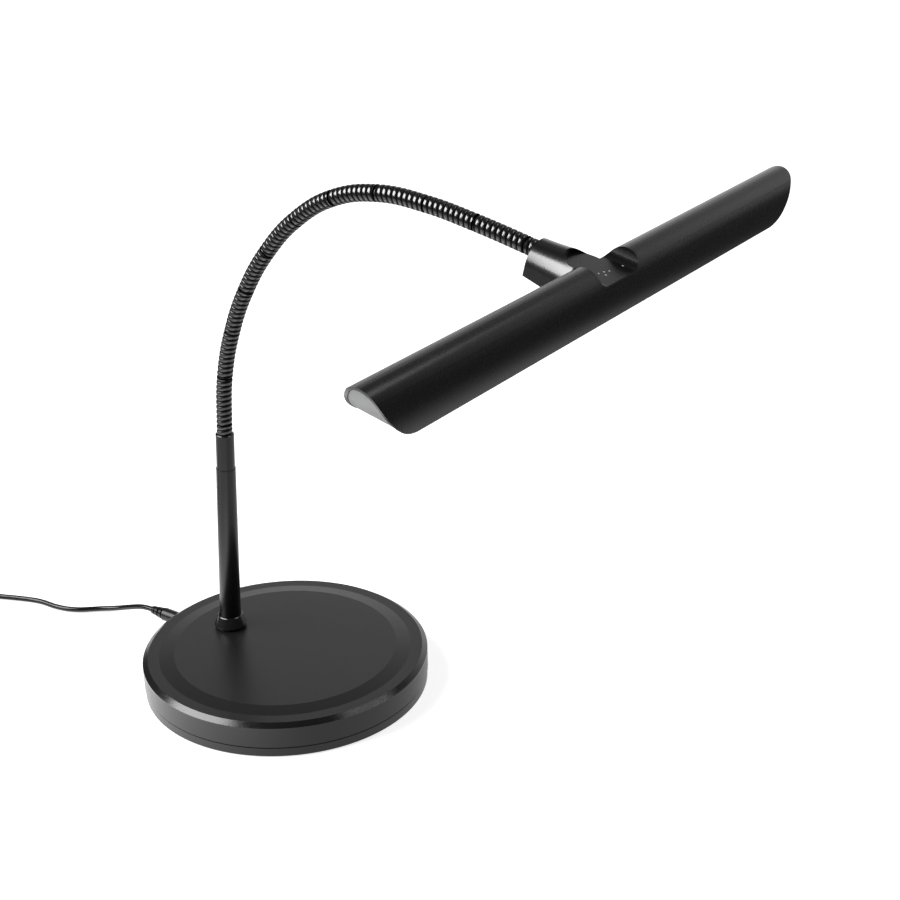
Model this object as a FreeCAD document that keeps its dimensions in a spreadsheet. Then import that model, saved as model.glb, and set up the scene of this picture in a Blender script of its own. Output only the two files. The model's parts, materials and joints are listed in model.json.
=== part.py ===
"""A gooseneck piano lamp: weighted round base, leaning post, ribbed flexible neck and a half-moon light bar.

Millimetres, +Z up. The origin is the centre of the base's underside. The bar runs along X, the player sits at
-Y, and the supply socket is in the back of the base, at +Y.
"""
import FreeCAD, Part
import math
import os
import Sketcher

from FreeCAD import Placement, Rotation, Vector

# ---------------------------------------------------------------- driving dimensions
SIZES = {
    # round base: a cover over a tray, with a cast weight between them
    "base_radius": 80.0,
    "base_top": 19.8,
    "rim_across": 2.9,
    "rim_down": 2.1,
    "ring_width": 6.4,
    "slope_width": 8.3,
    "disc_rise": 1.1,
    "cover_wall": 2.0,
    "cover_roof": 2.0,
    "seam_height": 5.5,
    "seam_gap": 0.8,
    "tray_inset": 0.4,
    "tray_floor": 3.0,
    "tray_lip": 2.6,
    "tray_lip_wall": 2.5,
    "pad_margin": 7.0,
    "pad_thickness": 1.8,
    "pad_proud": 0.2,
    "weight_margin": 8.0,
    "weight_thickness": 11.6,
    "weight_chamfer": 1.0,
    "boss_radius": 4.5,
    "boss_inset": 18.0,
    "boss_count": 4.0,
    "fit_gap": 0.3,
    "way_gap": 1.0,
    "thread_gap": 0.05,
    "stud_gap": 0.4,
    "tray_screw_radius": 1.5,
    "tray_screw_head_radius": 2.9,
    "tray_screw_head": 1.8,
    "tray_screw_length": 9.0,
    # supply socket in the back of the cover
    "socket_axis_height": 11.3,
    "socket_barrel_radius": 4.0,
    "socket_flange_radius": 4.9,
    "socket_flange": 1.2,
    "socket_bore_radius": 2.8,
    "socket_bore_depth": 10.0,
    "socket_barrel_length": 10.0,
    "socket_seat_gap": 0.05,
    "socket_body_width": 9.0,
    "socket_body_depth": 13.0,
    "socket_body_height": 7.6,
    "socket_nut_radius": 5.2,
    "socket_nut": 2.0,
    # post
    "post_setback": 39.1,
    "post_lean": 3.2,
    "post_foot_radius": 6.05,
    "post_head_radius": 5.45,
    "post_length": 101.5,
    "post_bore_radius": 3.2,
    "stud_radius": 5.0,
    "stud_length": 9.0,
    "nut_across_flats": 15.0,
    "nut_thickness": 3.0,
    "nut_gap": 0.12,
    "washer_radius": 9.5,
    "washer_thickness": 1.0,
    "collar_foot_radius": 8.3,
    "collar_radius": 9.3,
    "collar_belly": 1.6,
    "collar_belly_round": 0.7,
    "collar_head_radius": 7.0,
    "collar_height": 7.6,
    "collar_lip": 0.35,
    "sleeve_radius": 5.1,
    "sleeve_length": 21.0,
    "sleeve_socket": 12.0,
    "sleeve_spigot": 8.0,
    "sleeve_chamfer": 0.45,
    # flexible neck
    "neck_radius": 4.35,
    "groove_radius": 3.85,
    "neck_bore_radius": 1.9,
    "rib_pitch": 2.4,
    "groove_width": 0.7,
    "link_count": 10.0,
    "root_length": 6.0,
    "tail_length": 6.0,
    "joint_ball_radius": 3.7,
    "joint_gap": 0.3,
    "joint_cup_reach": 1.2,
    "joint_neck": 1.0,
    # centre line of the neck, seen from the side: reach ahead of the sleeve's top and height above it
    "curve_rise": 109.8,
    "curve_reach_2": 88.0,
    "curve_height_2": 155.8,
    "curve_reach_3": 87.0,
    "curve_height_3": 163.8,
    "curve_reach": 195.3,
    "curve_height": 139.2,
    # head
    "head_tilt": 13.5,
    "bar_half_width": 12.25,
    "bar_height": 22.5,
    "bar_crown_radius": 8.3,
    "bar_half_length": 178.9,
    "bar_end_radius": 21.8,
    "bar_end_turn": 39.6,
    "bar_end_upper_radius": 47.4,
    "bar_wall": 1.5,
    "diffuser_wall": 1.2,
    "diffuser_gap": 0.15,
    "diffuser_inset": 0.3,
    "notch_half_length": 17.5,
    "notch_floor": 16.0,
    "notch_corner_radius": 6.0,
    "panel_thickness": 1.2,
    "panel_gap": 0.1,
    "stub_back": 34.4,
    "stub_radius": 10.3,
    "stub_middle_radius": 11.2,
    "stub_axis_height": 7.2,
    "stub_underside": 2.0,
    "flare_radius": 12.8,
    "flare_overlap": 1.25,
    "panel_stem_back": 20.0,
    "panel_stem_round": 9.3,
    "neck_axis_height": 11.7,
    "neck_socket_depth": 12.0,
    "neck_fit": 0.05,
    "tongue_half_width": 9.6,
    "tongue_front": -6.0,
    "tongue_thickness": 3.2,
    "set_screw_radius": 1.5,
    "plate_half_length": 150.0,
    "plate_thickness": 1.6,
    "board_half_width": 6.5,
    "board_thickness": 1.4,
    "led_count": 25.0,
    "led_pitch": 11.6,
    "led_width": 3.5,
    "led_length": 2.8,
    "led_height": 0.7,
    "head_screw_x": 5.8,
    "head_screw_radius": 1.2,
    "head_screw_head_radius": 2.2,
    "head_screw_head": 1.3,
    "touch_board_half_length": 7.5,
    "touch_board_half_width": 3.6,
    "touch_board_thickness": 1.2,
    # supply lead
    "plug_radius": 3.9,
    "plug_length": 12.4,
    "plug_pin_radius": 2.7,
    "plug_pin_length": 9.5,
    "relief_length": 9.9,
    "relief_radius": 3.7,
    "relief_end_radius": 2.3,
    "relief_core_radius": 2.1,
    "relief_rings": 3.0,
    "relief_groove": 1.2,
    "cord_radius": 1.6,
    "coil_x": -64.0,
    "coil_back": 132.5,
    "coil_mean_radius": 18.0,
    "coil_pitch": 3.3,
    "coil_tracks": 4.0,
    "coil_layers": 4.0,
    "adapter_length": 62.0,
    "adapter_width": 40.0,
    "adapter_height": 27.0,
    "adapter_lid": 9.0,
    "adapter_corner": 5.0,
    "adapter_gap": 14.0,
    "adapter_relief_radius": 3.0,
    "adapter_relief": 8.0,
    "pin_radius": 2.0,
    "pin_length": 19.0,
    "pin_spacing": 19.0,
}

doc = FreeCAD.newDocument("piano_lamp")
sheet = doc.addObject("Spreadsheet::Sheet", "sizes")
for row, (alias, value) in enumerate(SIZES.items(), start=1):
    sheet.set(f"A{row}", alias)
    sheet.set(f"B{row}", str(value))
    sheet.setAlias(f"B{row}", alias)
doc.recompute()


class Size(float):
    """A length that remembers how it was worked out, so that a sketch can be bound to the same formula."""

    def __new__(cls, value, text):
        size = super().__new__(cls, value)
        size.text = text
        return size

    def joined(self, sign, other, value, swap=False):
        mine, theirs = self.text, getattr(other, "text", repr(float(other)))
        first, second = (theirs, mine) if swap else (mine, theirs)
        return Size(value, f"({first} {sign} {second})")

    def __add__(self, other):
        return self.joined("+", other, float(self) + float(other))

    def __sub__(self, other):
        return self.joined("-", other, float(self) - float(other))

    def __rsub__(self, other):
        return self.joined("-", other, float(other) - float(self), swap=True)

    def __mul__(self, other):
        return self.joined("*", other, float(self) * float(other))

    def __truediv__(self, other):
        return self.joined("/", other, float(self) / float(other))

    def __neg__(self):
        return Size(-float(self), f"(-1 * {self.text})")

    __radd__ = __add__
    __rmul__ = __mul__


class Sheet:
    """The spreadsheet's cells by name."""

    def __getattr__(self, alias):
        return Size(sheet.get(alias), f"sizes.{alias}")


s = Sheet()
X, Y, Z = Vector(1, 0, 0), Vector(0, 1, 0), Vector(0, 0, 1)


# ---------------------------------------------------------------- building blocks
def body(label):
    made = doc.addObject("PartDesign::Body", label)
    made.Label = label
    return made


def origin_feature(owner, role):
    return next(part for part in owner.Origin.OriginFeatures if part.Role == role)


def sketch(owner, name, plane, *outlines):
    """Closed outlines of straight lines. Each corner is a pair of sizes and is held by two constraints."""
    made = owner.newObject("Sketcher::SketchObject", name)
    made.AttachmentSupport = [(origin_feature(owner, plane), "")]
    made.MapMode = "FlatFace"
    for outline in outlines:
        first = made.GeometryCount
        count = len(outline)
        places = [Vector(float(across), float(up), 0) for across, up in outline]
        for index in range(count):
            made.addGeometry(Part.LineSegment(places[index], places[(index + 1) % count]))
        for index in range(count):
            following = first + (index + 1) % count
            made.addConstraint(Sketcher.Constraint("Coincident", first + index, 2, following, 1))
        for index, corner in enumerate(outline):
            for kind, axis, size in zip(("DistanceX", "DistanceY"), (-2, -1), corner):
                hold(made, first + index, kind, axis, size)
    return made


def hold(made, line, kind, axis, size):
    """Fixes one coordinate of a line's first end: on the axis where it is nothing, else at its size."""
    if not hasattr(size, "text"):
        if size:
            made.addConstraint(Sketcher.Constraint(kind, -1, 1, line, 1, float(size)))
        else:
            made.addConstraint(Sketcher.Constraint("PointOnObject", line, 1, axis))
        return
    number = made.addConstraint(Sketcher.Constraint(kind, -1, 1, line, 1, float(size)))
    made.setExpression(f"Constraints[{number}]", size.text)


def turned(label, *outlines, owner=None):
    """A body turned about its own Z axis from outlines of (radius, height)."""
    owner = owner or body(label)
    profile = sketch(owner, f"{label}_profile", "XZ_Plane", *outlines)
    made = owner.newObject("PartDesign::Revolution", f"{label}_turned")
    made.Profile = profile
    made.ReferenceAxis = (profile, ["V_Axis"])
    made.Angle = 360
    profile.Visibility = False
    doc.recompute()
    return owner


def primitive(owner, kind, name, place, turn=None, **sizes):
    """A PartDesign cylinder, box or prism, added to or taken from its body, with its place bound to sizes."""
    made = owner.newObject(f"PartDesign::{kind}", name)
    if turn:
        made.Placement = Placement(Vector(), turn)
    for prop, size in sizes.items():
        setattr(made, prop, float(size))
        if hasattr(size, "text"):
            made.setExpression(prop, size.text)
    for axis, size in zip("xyz", place):
        if hasattr(size, "text"):
            made.setExpression(f"Placement.Base.{axis}", size.text)
        elif size:
            setattr(made.Placement.Base, axis, float(size))
    owner.Tip = made
    doc.recompute()
    return made


def fillet(owner, name, radius, chosen):
    """Rounds those edges of a body that a test picks out."""
    base = owner.Tip
    made = owner.newObject("PartDesign::Fillet", name)
    edges = enumerate(base.Shape.Edges, start=1)
    made.Base = (base, [f"Edge{number}" for number, edge in edges if chosen(edge)])
    made.Radius = float(radius)
    made.setExpression("Radius", radius.text)
    owner.Tip = made
    doc.recompute()


def round_about(owner, feature, count):
    """Repeats a feature round the body's Z axis."""
    made = owner.newObject("PartDesign::PolarPattern", f"{feature.Name}_pattern")
    made.Originals = [feature]
    made.Axis = (origin_feature(owner, "Z_Axis"), [""])
    made.Angle = 360
    made.Occurrences = int(count)
    made.setExpression("Occurrences", count.text)
    owner.Tip = made
    doc.recompute()
    return made


def feature(label, shape, place=None):
    made = doc.addObject("Part::Feature", label)
    made.Label = label
    made.Shape = shape
    if place:
        made.Placement = place
    return made


def block(low, high):
    size = high - low
    return Part.makeBox(size.x, size.y, size.z, low)


TURN_TO_Y = Rotation(X, -90)

# ---------------------------------------------------------------- base
seam_top = s.seam_height + s.seam_gap / 2
seam_bottom = s.seam_height - s.seam_gap / 2
disc_top = s.base_top + s.disc_rise
roof_underside = s.base_top - s.cover_roof
cover_bore = s.base_radius - s.cover_wall
ring_outer_radius = s.base_radius - s.rim_across
ring_inner_radius = ring_outer_radius - s.ring_width
tray_radius = s.base_radius - s.tray_inset
lip_radius = cover_bore - s.fit_gap
lip_inner_radius = lip_radius - s.tray_lip_wall
lip_top = seam_bottom + s.tray_lip
pad_radius = tray_radius - s.pad_margin
recess_top = s.pad_thickness
floor_top = recess_top + s.tray_floor
weight_radius = cover_bore - s.weight_margin
weight_top = floor_top + s.weight_thickness
post_y = s.base_radius - s.post_setback
boss_circle = cover_bore - s.boss_inset
first_boss = boss_circle * math.sqrt(0.5)
roof_middle = (roof_underside + disc_top) / 2

cover = turned(
    "base_cover",
    [
        (cover_bore, seam_top),
        (s.base_radius, seam_top),
        (s.base_radius, s.base_top - s.rim_down),
        (ring_outer_radius, s.base_top),
        (ring_inner_radius, s.base_top),
        (ring_inner_radius - s.slope_width, disc_top),
        (0, disc_top),
        (0, roof_underside),
        (cover_bore, roof_underside),
    ],
)
boss = primitive(
    cover,
    "AdditiveCylinder",
    "boss",
    (first_boss, first_boss, floor_top),
    Radius=s.boss_radius,
    Height=roof_middle - floor_top,
)
round_about(cover, boss, s.boss_count)
boss_hole = primitive(
    cover,
    "SubtractiveCylinder",
    "boss_hole",
    (first_boss, first_boss, floor_top),
    Radius=s.tray_screw_radius + s.thread_gap,
    Height=s.tray_screw_length,
)
round_about(cover, boss_hole, s.boss_count)
primitive(
    cover,
    "SubtractiveCylinder",
    "stud_hole",
    (0, post_y, roof_underside - s.way_gap),
    Radius=s.stud_radius + s.stud_gap,
    Height=disc_top - roof_underside + s.way_gap * 2,
)
primitive(
    cover,
    "SubtractiveCylinder",
    "socket_hole",
    (0, cover_bore - s.way_gap, s.socket_axis_height),
    turn=TURN_TO_Y,
    Radius=s.socket_barrel_radius + s.socket_seat_gap,
    Height=s.cover_wall + s.way_gap * 2,
)

tray = turned(
    "base_tray",
    [
        (0, recess_top),
        (pad_radius + s.fit_gap, recess_top),
        (pad_radius + s.fit_gap, s.pad_proud),
        (tray_radius - s.pad_proud, s.pad_proud),
        (tray_radius, s.pad_proud * 2),
        (tray_radius, seam_bottom),
        (lip_radius, seam_bottom),
        (lip_radius, lip_top),
        (lip_inner_radius, lip_top),
        (lip_inner_radius, floor_top),
        (0, floor_top),
    ],
)
screw_seat = primitive(
    tray,
    "SubtractiveCylinder",
    "screw_seat",
    (first_boss, first_boss, recess_top),
    Radius=s.tray_screw_head_radius + s.fit_gap,
    Height=s.tray_screw_head,
)
round_about(tray, screw_seat, s.boss_count)
screw_way = primitive(
    tray,
    "SubtractiveCylinder",
    "screw_way",
    (first_boss, first_boss, recess_top),
    Radius=s.tray_screw_radius + s.fit_gap,
    Height=s.tray_floor + s.way_gap,
)
round_about(tray, screw_way, s.boss_count)
primitive(
    tray,
    "SubtractiveBox",
    "socket_relief",
    (-s.socket_nut_radius - s.way_gap, lip_inner_radius - s.way_gap, floor_top),
    Length=(s.socket_nut_radius + s.way_gap) * 2,
    Width=cover_bore - lip_inner_radius + s.way_gap,
    Height=lip_top - floor_top + s.way_gap,
)

turned(
    "foot_pad",
    [(0, 0), (pad_radius, 0), (pad_radius, s.pad_thickness), (0, s.pad_thickness)],
)

weight = turned(
    "base_weight",
    [
        (0, floor_top),
        (weight_radius, floor_top),
        (weight_radius, weight_top - s.weight_chamfer),
        (weight_radius - s.weight_chamfer, weight_top),
        (0, weight_top),
    ],
)
boss_way = primitive(
    weight,
    "SubtractiveCylinder",
    "boss_way",
    (first_boss, first_boss, floor_top - s.way_gap),
    Radius=s.boss_radius + s.fit_gap,
    Height=s.weight_thickness + s.way_gap * 2,
)
round_about(weight, boss_way, s.boss_count)
primitive(
    weight,
    "SubtractiveCylinder",
    "nut_way",
    (0, post_y, floor_top - s.way_gap),
    Radius=s.washer_radius + s.way_gap,
    Height=s.weight_thickness + s.way_gap * 2,
)
socket_body_back = s.base_radius - s.socket_barrel_length
primitive(
    weight,
    "SubtractiveBox",
    "socket_way",
    (
        -s.socket_body_width / 2 - s.way_gap,
        socket_body_back - s.socket_body_depth - s.way_gap,
        floor_top - s.way_gap,
    ),
    Length=s.socket_body_width + s.way_gap * 2,
    Width=s.socket_body_depth + s.socket_barrel_length,
    Height=s.weight_thickness + s.way_gap * 2,
)


def tray_screw():
    head = Part.makeCylinder(s.tray_screw_head_radius, s.tray_screw_head, Vector(0, 0, recess_top))
    shank = Part.makeCylinder(s.tray_screw_radius, s.tray_screw_length, Vector(0, 0, recess_top))
    screw = head.fuse(shank)
    screw.translate(Vector(boss_circle, 0, 0))
    return screw


screws = []
for turn in range(int(s.boss_count)):
    screw = tray_screw()
    screw.rotate(Vector(), Z, 45 + 360 / s.boss_count * turn)
    screws.append(screw)
feature("tray_screws", Part.makeCompound(screws))

# ---------------------------------------------------------------- supply socket
socket_face = s.base_radius + s.socket_seat_gap
socket_mouth = socket_face + s.socket_flange
socket_nut_face = math.sqrt(cover_bore ** 2 - s.socket_nut_radius ** 2) - s.socket_seat_gap


def along_y(radius, start, end, height=s.socket_axis_height):
    return Part.makeCylinder(radius, end - start, Vector(0, start, height), Y)


socket_half_height = s.socket_body_height / 2
socket = block(
    Vector(
        -s.socket_body_width / 2,
        socket_body_back - s.socket_body_depth,
        s.socket_axis_height - socket_half_height,
    ),
    Vector(s.socket_body_width / 2, socket_body_back, s.socket_axis_height + socket_half_height),
)
socket = socket.fuse(
    [
        along_y(s.socket_barrel_radius, socket_body_back, socket_face),
        along_y(s.socket_flange_radius, socket_face, socket_mouth),
    ]
)
socket_bore = along_y(s.socket_bore_radius, socket_mouth - s.socket_bore_depth, socket_mouth)
feature("dc_socket", socket.cut(socket_bore).removeSplitter())
socket_nut = along_y(s.socket_nut_radius, socket_nut_face - s.socket_nut, socket_nut_face)
socket_nut_bore = along_y(s.socket_barrel_radius + s.thread_gap, socket_body_back, socket_face)
feature("dc_socket_nut", socket_nut.cut(socket_nut_bore))

# ---------------------------------------------------------------- post
foot = Vector(0, post_y, disc_top)
post_frame = Placement(foot, Rotation(X, s.post_lean))
post_axis = post_frame.Rotation.multVec(Z)


def post_axis_y(height):
    """Where the leaning post's axis passes a height."""
    return post_y - (height - disc_top) * math.tan(math.radians(s.post_lean))


def lean(owner):
    """Stands a body on the base's disc and leans it with the post."""
    owner.Placement = post_frame
    owner.setExpression("Placement.Base.y", post_y.text)
    owner.setExpression("Placement.Base.z", disc_top.text)
    owner.setExpression("Placement.Rotation.Angle", f"{s.post_lean.text} * 1 deg")


post_shoulder = s.post_foot_radius * math.tan(math.radians(s.post_lean))
lean(
    turned(
        "post",
        [
            (s.post_bore_radius, -s.stud_length),
            (s.stud_radius, -s.stud_length),
            (s.stud_radius, post_shoulder),
            (s.post_foot_radius, post_shoulder),
            (s.post_head_radius, s.post_length),
            (s.post_bore_radius, s.post_length),
        ],
    )
)
spigot_radius = s.post_bore_radius - s.neck_fit
neck_socket_radius = s.neck_radius + s.neck_fit
sleeve_end = s.post_length + s.sleeve_length
lean(
    turned(
        "post_sleeve",
        [
            (s.neck_bore_radius, s.post_length - s.sleeve_spigot),
            (spigot_radius, s.post_length - s.sleeve_spigot),
            (spigot_radius, s.post_length),
            (s.sleeve_radius, s.post_length),
            (s.sleeve_radius, sleeve_end - s.sleeve_chamfer),
            (s.sleeve_radius - s.sleeve_chamfer, sleeve_end),
            (neck_socket_radius, sleeve_end),
            (neck_socket_radius, sleeve_end - s.sleeve_socket),
            (s.neck_bore_radius, sleeve_end - s.sleeve_socket),
        ],
    )
)
collar_bore = s.post_foot_radius + s.fit_gap
collar = turned(
    "post_collar",
    [
        (collar_bore, 0),
        (s.collar_foot_radius, 0),
        (s.collar_radius, s.collar_belly),
        (s.collar_head_radius, s.collar_height - s.collar_lip),
        (s.collar_head_radius - s.collar_lip, s.collar_height),
        (collar_bore, s.collar_height),
    ],
)
fillet(
    collar,
    "collar_belly",
    s.collar_belly_round,
    lambda edge: edge.BoundBox.XMax > s.collar_radius - s.fit_gap,
)
collar.Placement = Placement(Vector(0, post_axis_y(disc_top + s.collar_height / 2), disc_top), Rotation())
washer_top = roof_underside
washer = turned(
    "post_washer",
    [
        (s.stud_radius + s.stud_gap, -s.washer_thickness),
        (s.washer_radius, -s.washer_thickness),
        (s.washer_radius, 0),
        (s.stud_radius + s.stud_gap, 0),
    ],
)
washer.Placement = Placement(Vector(0, post_axis_y(washer_top), washer_top), Rotation())
nut_turns = [math.pi / 3 * side for side in range(7)]
nut_corner = s.nut_across_flats / math.sqrt(3)
nut_outline = [Vector(math.cos(turn), math.sin(turn), 0) * nut_corner for turn in nut_turns]
nut = Part.Face(Part.makePolygon(nut_outline)).extrude(Z * s.nut_thickness)
nut = nut.cut(Part.makeCylinder(s.stud_radius + s.nut_gap, s.nut_thickness))
nut_bottom = washer_top - s.washer_thickness - s.nut_thickness
nut_middle = nut_bottom + s.nut_thickness / 2
feature("post_nut", nut, Placement(Vector(0, post_axis_y(nut_middle), nut_bottom), Rotation()))

# ---------------------------------------------------------------- flexible neck
sleeve_top = post_frame.multVec(Z * sleeve_end)
CURVE = [
    (0, 0),
    (0, s.curve_rise),
    (s.curve_reach_2, s.curve_height_2),
    (s.curve_reach_3, s.curve_height_3),
    (s.curve_reach, s.curve_height),
]


def neck_hinges():
    """The first hinge stands on the post's axis, the others evenly along the neck's centre line."""
    curve = Part.BezierCurve()
    curve.setPoles([sleeve_top + Vector(0, -float(reach), float(height)) for reach, height in CURVE])
    count = int(s.link_count)
    spacing = (curve.length() - s.root_length) / count
    marks = [s.root_length + spacing * k for k in range(1, count)]
    along = [curve.value(curve.parameterAtDistance(mark)) for mark in marks]
    return [sleeve_top + post_axis * s.root_length] + along + [curve.EndPoint]


hinges = neck_hinges()


def ring_point(radius, height):
    return Vector(radius, 0, height)


def wound_outline(start, end):
    """The wound strip's outside from one height to another: full turns with a groove between."""
    turns = max(1, round((end - start + s.groove_width) / s.rib_pitch))
    pitch = (end - start + s.groove_width) / turns
    points = []
    for turn in range(turns):
        low = start + pitch * turn
        high = low + pitch - s.groove_width
        if turn:
            points.append(ring_point(s.groove_radius, low))
        points += [ring_point(s.neck_radius, low), ring_point(s.neck_radius, high)]
        if turn < turns - 1:
            points.append(ring_point(s.groove_radius, high))
    return points


def arc_about(centre, radius, start, end):
    """An arc of a meridian, from one angle to another. Angles are in radians above the ring's plane."""
    points = [
        ring_point(radius * math.cos(angle), centre + radius * math.sin(angle))
        for angle in (start, (start + end) / 2, end)
    ]
    return Part.Arc(*points).toShape()


def neck_piece(outside, cup=False, ball=False):
    """A piece of the neck, turned in one about Z. A cup sits round height 0, a ball stands on the end."""
    start, end = outside[0], outside[-1]
    edges = [Part.makeLine(low, high) for low, high in zip(outside, outside[1:])]
    bore_low = ring_point(s.neck_bore_radius, start.z)
    bore_high = ring_point(s.neck_bore_radius, end.z)
    if ball:
        foot = -math.asin(s.joint_neck / s.joint_ball_radius)
        top = math.acos(s.neck_bore_radius / s.joint_ball_radius)
        arc = arc_about(end.z + s.joint_neck, s.joint_ball_radius, foot, top)
        edges += [Part.makeLine(end, arc.Vertexes[0].Point), arc]
        bore_high = arc.Vertexes[-1].Point
    else:
        edges.append(Part.makeLine(end, bore_high))
    if cup:
        radius = s.joint_ball_radius + s.joint_gap
        arc = arc_about(0, radius, math.acos(s.neck_bore_radius / radius), math.asin(start.z / radius))
        edges += [arc, Part.makeLine(arc.Vertexes[-1].Point, start)]
        bore_low = arc.Vertexes[0].Point
    else:
        edges.append(Part.makeLine(bore_low, start))
    edges.append(Part.makeLine(bore_high, bore_low))
    return Part.Face(Part.Wire(Part.__sortEdges__(edges))).revolve(Vector(), Z, 360)


def neck_place(point, direction):
    return Placement(point, Rotation(Z, direction))


root_end = s.sleeve_socket + s.root_length
root_outside = [
    ring_point(s.neck_radius, 0),
    ring_point(s.neck_radius, s.sleeve_socket),
    ring_point(s.groove_radius, s.sleeve_socket),
    ring_point(s.groove_radius, s.sleeve_socket + s.groove_width),
]
root_outside += wound_outline(s.sleeve_socket + s.groove_width, root_end - s.joint_neck)
root_place = neck_place(hinges[0] - post_axis * root_end, post_axis)
feature("neck_root", neck_piece(root_outside, ball=True), root_place)
for index in range(int(s.link_count)):
    direction = hinges[index + 1] - hinges[index]
    outside = wound_outline(s.joint_cup_reach, direction.Length - s.joint_neck)
    link = neck_piece(outside, cup=True, ball=True)
    feature(f"neck_link_{index + 1:02d}", link, neck_place(hinges[index], direction))

# ---------------------------------------------------------------- head
# the head's own frame: origin at the middle of the bar's underside, its player's edge tipped down
head_turn = Rotation(X, s.head_tilt)
tail_back = s.stub_back + s.tail_length
head_frame = Placement(hinges[-1] - head_turn.multVec(Vector(0, tail_back, s.neck_axis_height)), head_turn)
LONG = 2 * s.bar_half_length


def head_feature(label, shape):
    return feature(label, shape, head_frame)


crown_rise = s.bar_height - s.bar_crown_radius
flank_radius = (s.bar_half_width ** 2 + crown_rise ** 2 - s.bar_crown_radius ** 2) / (
    2 * (s.bar_half_width - s.bar_crown_radius)
)
flank_turn = math.atan2(crown_rise, flank_radius - s.bar_half_width)


def arch(inset):
    """The bar's section along X: a tight crown on two wide flanks, all moved inward by inset."""

    def on_flank(side, turn):
        across = s.bar_half_width - flank_radius + (flank_radius - inset) * math.cos(turn)
        return Vector(-LONG, across * side, (flank_radius - inset) * math.sin(turn))

    front = [on_flank(-1, flank_turn * part) for part in (0, 0.5, 1)]
    back = [on_flank(1, flank_turn * part) for part in (1, 0.5, 0)]
    crown = Vector(-LONG, 0, s.bar_height - inset)
    arcs = [Part.Arc(*points).toShape() for points in (front, (front[-1], crown, back[0]), back)]
    return Part.Face(Part.Wire(arcs + [Part.makeLine(back[-1], front[0])])).extrude(X * (2 * LONG))


end_turn = math.radians(s.bar_end_turn)
end_step = s.bar_end_upper_radius - s.bar_end_radius
upper_centre_height = s.bar_end_radius + end_step * math.cos(end_turn)
crown_reach = math.sqrt(s.bar_end_upper_radius ** 2 - (upper_centre_height - s.bar_height) ** 2)
flat_half_length = s.bar_half_length + end_step * math.sin(end_turn) - crown_reach


def side_outline(inset):
    """The bar seen from the front, as a prism along Y: flat below, each end rising in two tangent arcs."""
    lower = Vector(flat_half_length, -LONG, s.bar_end_radius)
    upper = lower + Vector(-math.sin(end_turn), 0, math.cos(end_turn)) * end_step
    crown_turn = math.acos((upper_centre_height - s.bar_height) / (s.bar_end_upper_radius - inset))

    def on_end(centre, radius, turn):
        return centre + Vector(math.sin(turn), 0, -math.cos(turn)) * (radius - inset)

    lower_arc = [on_end(lower, s.bar_end_radius, end_turn * part) for part in (0, 0.5, 1)]
    turns = (end_turn, (end_turn + crown_turn) / 2, crown_turn)
    upper_arc = [on_end(upper, s.bar_end_upper_radius, turn) for turn in turns]
    right = Part.Wire([Part.Arc(*lower_arc).toShape(), Part.Arc(*upper_arc).toShape()])
    left = right.mirror(Vector(), X)
    foot, top = lower_arc[0], upper_arc[-1]
    ends = [Part.makeLine(Vector(-point.x, point.y, point.z), point) for point in (foot, top)]
    outline = Part.Wire(Part.__sortEdges__(right.Edges + left.Edges + ends))
    return Part.Face(outline).extrude(Y * (2 * LONG))


def notch(inset):
    """The valley across the bar for the touch panel, as a prism along Y, grown outward by inset."""
    radius = s.notch_corner_radius + inset
    half = s.notch_half_length + inset
    floor = s.notch_floor - inset
    low = block(Vector(radius - half, -LONG, floor), Vector(half - radius, LONG, LONG))
    high = block(Vector(-half, -LONG, floor + radius), Vector(half, LONG, LONG))
    corners = [
        Part.makeCylinder(radius, 2 * LONG, Vector((half - radius) * side, -LONG, floor + radius), Y)
        for side in (-1, 1)
    ]
    return low.fuse([high] + corners)


flare_start = s.bar_half_width - s.flare_overlap


def stub_envelope():
    """The connector's outside: an arch on straight sides, wider towards the bar, on a sloping underside."""
    front = Vector(s.flare_radius, flare_start, 0)
    middle = Vector(s.stub_middle_radius, (flare_start + s.stub_back) / 2, 0)
    back = Vector(s.stub_radius, s.stub_back, 0)
    corners = [front, Vector(s.flare_radius, 0, 0), Vector(0, 0, 0), Vector(0, s.stub_back, 0), back]
    edges = [Part.makeLine(corners[k], corners[k + 1]) for k in range(len(corners) - 1)]
    edges.append(Part.Arc(back, middle, front).toShape())
    half = Part.Face(Part.Wire(edges))
    crown = half.revolve(Vector(), Y, -180)
    drop = Z * -s.stub_axis_height
    outside = crown.fuse([half.extrude(drop), half.mirror(Vector(), X).extrude(drop)]).removeSplitter()
    outside.translate(Z * s.stub_axis_height)
    above_underside = [
        Vector(-LONG, 0, 0),
        Vector(-LONG, s.bar_half_width, 0),
        Vector(-LONG, s.stub_back, s.stub_underside),
        Vector(-LONG, s.stub_back, LONG),
        Vector(-LONG, 0, LONG),
        Vector(-LONG, 0, 0),
    ]
    return outside.common(Part.Face(Part.makePolygon(above_underside)).extrude(X * (2 * LONG)))


panel_underside = s.notch_floor - s.panel_thickness
tongue_underside = panel_underside - s.tongue_thickness
plate_underside = tongue_underside - s.plate_thickness
board_underside = plate_underside - s.board_thickness


def stem_footprint(gap, low, high):
    """The panel's stem between two heights: as wide as the flare at the bar, with a round back end."""
    radius = s.panel_stem_round + gap
    centre = s.panel_stem_back - s.panel_stem_round
    throat = block(Vector(-s.flare_radius, 0, low), Vector(s.flare_radius, centre + gap, high))
    return throat.fuse(Part.makeCylinder(radius, high - low, Vector(0, centre, low)))


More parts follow.
